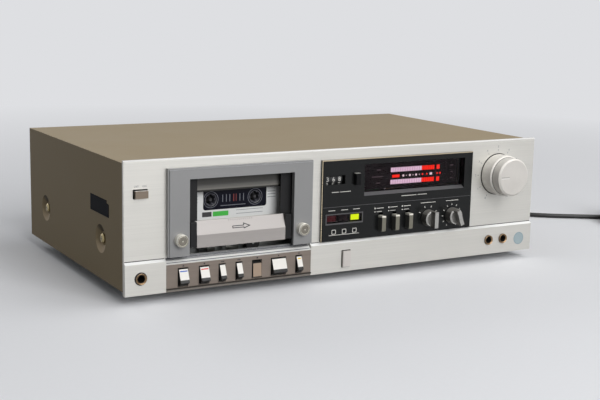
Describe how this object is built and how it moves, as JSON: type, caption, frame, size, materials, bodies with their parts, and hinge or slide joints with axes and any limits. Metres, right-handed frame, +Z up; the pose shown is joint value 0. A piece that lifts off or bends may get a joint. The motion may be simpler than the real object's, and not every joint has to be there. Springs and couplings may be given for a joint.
{
  "type": "cassette deck",
  "caption": "Front-loading cassette deck with a tilting cassette door, piano keys, a fluorescent level meter, lever switches and turning knobs.",
  "frame": {"origin": "centre of the bounding box of the deck without its cord, at the bottom of the feet", "axes": "+X to the right seen from the front, +Y to the back, +Z up"},
  "size_m": [0.708, 0.3652, 0.12],
  "materials": {
    "base_pan": "satin",
    "feet": "matte",
    "top_cover": "satin",
    "case_screws": "satin",
    "rear_panel": "satin",
    "line_sockets": "matte",
    "cord_relief": "matte",
    "upper_fascia": "brushed",
    "lower_fascia": "brushed",
    "key_bezel": "brushed",
    "display_panel": "gloss",
    "display_windows": "gloss",
    "display_lamps": "matte",
    "counter_frame": "matte",
    "panel_controls": "matte",
    "front_jacks": "gloss",
    "mechanism_plate": "satin",
    "drive_motor": "satin",
    "drive_belt": "matte",
    "circuit_board": "matte",
    "transformer": "satin",
    "pivot_pins": "satin",
    "mains_cord": "matte",
    "cord_coil": "matte",
    "mains_plug": "matte",
    "cassette_door": "satin",
    "thumb_screws": "turned",
    "cassette_holder": "satin",
    "holder_trim": "satin",
    "cassette_front": "satin",
    "cassette_back": "satin",
    "head_carriage": "satin",
    "tape_heads": "polished",
    "supply_reel": "satin",
    "takeup_reel": "satin",
    "supply_spindle": "satin",
    "takeup_spindle": "satin",
    "flywheel": "turned",
    "motor_pulley": "turned",
    "pinch_roller": "matte",
    "eject_key": "satin",
    "record_key": "satin",
    "rewind_key": "satin",
    "forward_key": "satin",
    "stop_key": "satin",
    "play_key": "satin",
    "pause_key": "satin",
    "mute_button": "satin",
    "power_button": "satin",
    "counter_reset": "satin",
    "counter_hundreds": "satin",
    "counter_tens": "satin",
    "counter_units": "satin",
    "monitor_lever": "satin",
    "filter_lever": "satin",
    "timer_lever": "satin",
    "selector_dial": "satin",
    "output_dial": "satin",
    "level_knob_front": "turned",
    "level_knob_rear": "turned"
  },
  "bodies": {
    "case": {"base_pan": "base_pan", "feet": "feet", "top_cover": "top_cover", "case_screws": "case_screws", "rear_panel": "rear_panel", "line_sockets": "line_sockets", "cord_relief": "cord_relief", "upper_fascia": "upper_fascia", "lower_fascia": "lower_fascia", "key_bezel": "key_bezel", "display_panel": "display_panel", "display_windows": "display_windows", "display_lamps": "display_lamps", "counter_frame": "counter_frame", "panel_controls": "panel_controls", "front_jacks": "front_jacks", "mechanism_plate": "mechanism_plate", "drive_motor": "drive_motor", "drive_belt": "drive_belt", "circuit_board": "circuit_board", "transformer": "transformer", "pivot_pins": "pivot_pins", "mains_cord": "mains_cord", "cord_coil": "cord_coil", "mains_plug": "mains_plug"},
    "door": {"cassette_door": "cassette_door", "thumb_screws": "thumb_screws", "cassette_holder": "cassette_holder", "holder_trim": "holder_trim", "cassette_front": "cassette_front", "cassette_back": "cassette_back"},
    "carriage": {"head_carriage": "head_carriage", "tape_heads": "tape_heads"},
    "supply_reel": {"supply_reel": "supply_reel"},
    "takeup_reel": {"takeup_reel": "takeup_reel"},
    "supply_spindle": {"supply_spindle": "supply_spindle"},
    "takeup_spindle": {"takeup_spindle": "takeup_spindle"},
    "flywheel": {"flywheel": "flywheel"},
    "motor_pulley": {"motor_pulley": "motor_pulley"},
    "pinch_roller": {"pinch_roller": "pinch_roller"},
    "eject_key": {"eject_key": "eject_key"},
    "record_key": {"record_key": "record_key"},
    "rewind_key": {"rewind_key": "rewind_key"},
    "forward_key": {"forward_key": "forward_key"},
    "stop_key": {"stop_key": "stop_key"},
    "play_key": {"play_key": "play_key"},
    "pause_key": {"pause_key": "pause_key"},
    "mute_button": {"mute_button": "mute_button"},
    "power_button": {"power_button": "power_button"},
    "counter_reset": {"counter_reset": "counter_reset"},
    "counter_hundreds": {"counter_hundreds": "counter_hundreds"},
    "counter_tens": {"counter_tens": "counter_tens"},
    "counter_units": {"counter_units": "counter_units"},
    "monitor_lever": {"monitor_lever": "monitor_lever"},
    "filter_lever": {"filter_lever": "filter_lever"},
    "timer_lever": {"timer_lever": "timer_lever"},
    "selector_dial": {"selector_dial": "selector_dial"},
    "output_dial": {"output_dial": "output_dial"},
    "level_knob_front": {"level_knob_front": "level_knob_front"},
    "level_knob_rear": {"level_knob_rear": "level_knob_rear"}
  },
  "joints": [
    {"name": "door_hinge", "type": "hinge", "parent": "case", "child": "door", "pos_m": [-0.1093, -0.1005, 0.028], "axis": [1, 0, 0], "range_deg": [0, 18]},
    {"name": "flywheel_spin", "type": "hinge", "parent": "case", "child": "flywheel", "pos_m": [-0.0888, -0.0685, 0.0544], "axis": [0, 1, 0], "continuous": true},
    {"name": "motor_pulley_spin", "type": "hinge", "parent": "case", "child": "motor_pulley", "pos_m": [-0.155, -0.0685, 0.046], "axis": [0, 1, 0], "continuous": true},
    {"name": "takeup_spindle_spin", "type": "hinge", "parent": "case", "child": "takeup_spindle", "pos_m": [-0.08805, -0.0815, 0.08], "axis": [0, 1, 0], "continuous": true},
    {"name": "supply_spindle_spin", "type": "hinge", "parent": "case", "child": "supply_spindle", "pos_m": [-0.13055, -0.0815, 0.08], "axis": [0, 1, 0], "continuous": true},
    {"name": "takeup_reel_spin", "type": "hinge", "parent": "door", "child": "takeup_reel", "pos_m": [-0.08805, -0.0985, 0.08], "axis": [0, 1, 0], "continuous": true},
    {"name": "supply_reel_spin", "type": "hinge", "parent": "door", "child": "supply_reel", "pos_m": [-0.13055, -0.0985, 0.08], "axis": [0, 1, 0], "continuous": true},
    {"name": "carriage_slide", "type": "slide", "parent": "case", "child": "carriage", "axis": [0, 0, -1], "range_m": [-0.008, 0], "stiffness_N_per_m": 120},
    {"name": "pinch_roller_spin", "type": "hinge", "parent": "carriage", "child": "pinch_roller", "pos_m": [-0.0888, -0.0985, 0.0385], "axis": [0, 1, 0], "continuous": true},
    {"name": "eject_key_press", "type": "hinge", "parent": "case", "child": "eject_key", "pos_m": [-0.1633, -0.115, 0.025], "axis": [-1, 0, 0], "range_deg": [-20, 0], "stiffness_Nm_per_rad": 0.03},
    {"name": "record_key_press", "type": "hinge", "parent": "case", "child": "record_key", "pos_m": [-0.144, -0.115, 0.025], "axis": [-1, 0, 0], "range_deg": [-20, 0], "stiffness_Nm_per_rad": 0.03},
    {"name": "rewind_key_press", "type": "hinge", "parent": "case", "child": "rewind_key", "pos_m": [-0.1271, -0.115, 0.025], "axis": [-1, 0, 0], "range_deg": [-20, 0], "stiffness_Nm_per_rad": 0.03},
    {"name": "forward_key_press", "type": "hinge", "parent": "case", "child": "forward_key", "pos_m": [-0.1111, -0.115, 0.025], "axis": [-1, 0, 0], "range_deg": [-20, 0], "stiffness_Nm_per_rad": 0.03},
    {"name": "stop_key_press", "type": "hinge", "parent": "case", "child": "stop_key", "pos_m": [-0.0937, -0.115, 0.025], "axis": [-1, 0, 0], "range_deg": [0, 20]},
    {"name": "play_key_press", "type": "hinge", "parent": "case", "child": "play_key", "pos_m": [-0.0724, -0.115, 0.025], "axis": [-1, 0, 0], "range_deg": [-20, 0]},
    {"name": "pause_key_press", "type": "hinge", "parent": "case", "child": "pause_key", "pos_m": [-0.0521, -0.115, 0.025], "axis": [-1, 0, 0], "range_deg": [-20, 0], "stiffness_Nm_per_rad": 0.03},
    {"name": "mute_button_press", "type": "slide", "parent": "case", "child": "mute_button", "axis": [0, 1, 0], "range_m": [0, 0.003], "stiffness_N_per_m": 250},
    {"name": "power_button_press", "type": "slide", "parent": "case", "child": "power_button", "axis": [0, 1, 0], "range_m": [0, 0.003], "stiffness_N_per_m": 250},
    {"name": "counter_reset_press", "type": "slide", "parent": "case", "child": "counter_reset", "axis": [0, 1, 0], "range_m": [0, 0.003], "stiffness_N_per_m": 250},
    {"name": "counter_hundreds_spin", "type": "hinge", "parent": "case", "child": "counter_hundreds", "pos_m": [-0.0226, -0.108, 0.09245], "axis": [1, 0, 0], "continuous": true},
    {"name": "counter_tens_spin", "type": "hinge", "parent": "case", "child": "counter_tens", "pos_m": [-0.0164, -0.108, 0.09245], "axis": [1, 0, 0], "continuous": true},
    {"name": "counter_units_spin", "type": "hinge", "parent": "case", "child": "counter_units", "pos_m": [-0.0102, -0.108, 0.09245], "axis": [1, 0, 0], "continuous": true},
    {"name": "monitor_lever_tilt", "type": "hinge", "parent": "case", "child": "monitor_lever", "pos_m": [0.033, -0.1095, 0.0496], "axis": [-1, 0, 0], "range_deg": [0, 10]},
    {"name": "filter_lever_tilt", "type": "hinge", "parent": "case", "child": "filter_lever", "pos_m": [0.0481, -0.1095, 0.0496], "axis": [-1, 0, 0], "range_deg": [0, 10]},
    {"name": "timer_lever_tilt", "type": "hinge", "parent": "case", "child": "timer_lever", "pos_m": [0.0632, -0.1095, 0.0496], "axis": [-1, 0, 0], "range_deg": [0, 10]},
    {"name": "selector_dial_turn", "type": "hinge", "parent": "case", "child": "selector_dial", "pos_m": [0.0865, -0.1175, 0.0505], "axis": [0, -1, 0], "range_deg": [-60, 60]},
    {"name": "output_dial_turn", "type": "hinge", "parent": "case", "child": "output_dial", "pos_m": [0.1145, -0.1175, 0.0505], "axis": [0, -1, 0], "range_deg": [-170, 130]},
    {"name": "level_knob_front_turn", "type": "hinge", "parent": "case", "child": "level_knob_front", "pos_m": [0.1699, -0.1175, 0.0865], "axis": [0, -1, 0], "range_deg": [-150, 150]},
    {"name": "level_knob_rear_turn", "type": "hinge", "parent": "case", "child": "level_knob_rear", "pos_m": [0.1699, -0.1175, 0.0865], "axis": [0, -1, 0], "range_deg": [-150, 150]}
  ],
  "couplings": [
    {"joint": "motor_pulley_spin", "follows": "flywheel_spin", "ratio": 5.6364},
    {"joint": "takeup_spindle_spin", "follows": "flywheel_spin", "ratio": -0.69407},
    {"joint": "takeup_reel_spin", "follows": "flywheel_spin", "ratio": -0.69407},
    {"joint": "supply_spindle_spin", "follows": "flywheel_spin", "ratio": -0.42247},
    {"joint": "supply_reel_spin", "follows": "flywheel_spin", "ratio": -0.42247},
    {"joint": "pinch_roller_spin", "follows": "flywheel_spin", "ratio": -0.19231},
    {"joint": "counter_units_spin", "follows": "flywheel_spin", "ratio": 0.05},
    {"joint": "counter_tens_spin", "follows": "flywheel_spin", "ratio": 0.005},
    {"joint": "counter_hundreds_spin", "follows": "flywheel_spin", "ratio": 0.0005},
    {"joint": "play_key_press", "follows": "carriage_slide", "rad_per_m": 43.633}
  ]
}
